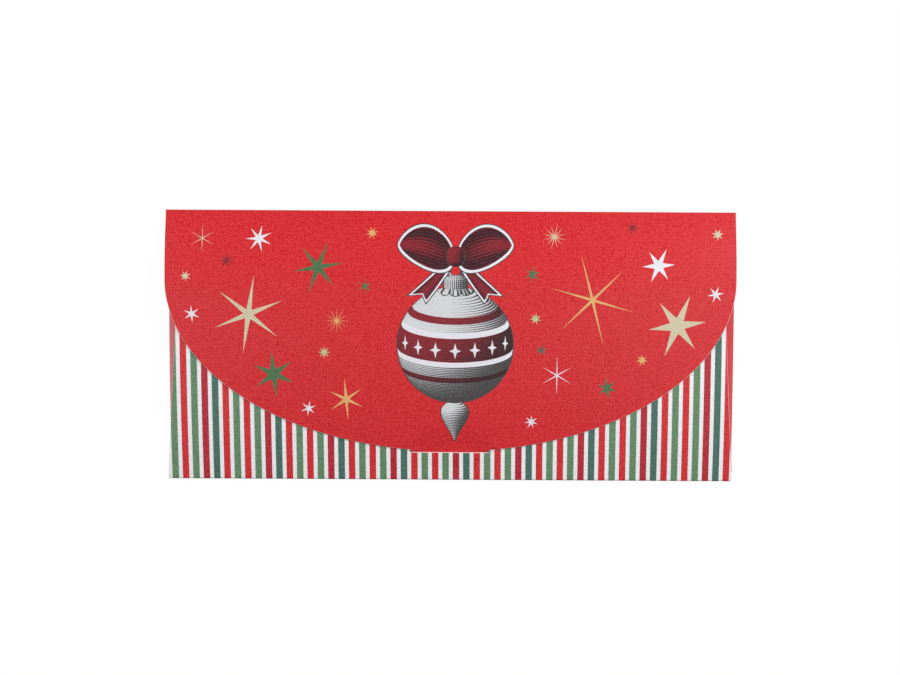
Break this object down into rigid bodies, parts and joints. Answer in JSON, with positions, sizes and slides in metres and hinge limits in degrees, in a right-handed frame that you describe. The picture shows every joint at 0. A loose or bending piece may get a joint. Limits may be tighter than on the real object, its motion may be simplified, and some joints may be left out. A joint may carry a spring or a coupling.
{
  "type": "money holder card",
  "caption": "Flat folded card pocket for banknotes, with a round flap on a top crease and a tuck-in tongue that closes in a slit.",
  "frame": {"origin": "middle of the card's box on its back face, halfway between the bottom fold and the top crease", "axes": "+X to the right along the folds, +Y from the bottom fold to the top crease, +Z out of the striped front"},
  "size_m": [0.1826, 0.0864, 0.0072],
  "materials": {
    "red_card": "matte",
    "striped_card": "matte",
    "glue": "satin"
  },
  "bodies": {
    "wallet": {"back_panel": "red_card", "bottom_fold": "striped_card", "pocket_front": "striped_card", "left_side_fold": "red_card", "right_side_fold": "red_card", "left_glue_tab": "red_card", "right_glue_tab": "red_card", "left_glue_strip": "glue", "right_glue_strip": "glue", "top_crease": "red_card"},
    "flap": {"flap_panel": "red_card", "closing_tongue": "red_card"}
  },
  "joints": [
    {"name": "flap_hinge", "type": "hinge", "parent": "wallet", "child": "flap", "pos_m": [0, 0.04255, 0.00065], "axis": [-1, 0, 0], "range_deg": [0, 165], "deforming": ["top_crease"]}
  ]
}
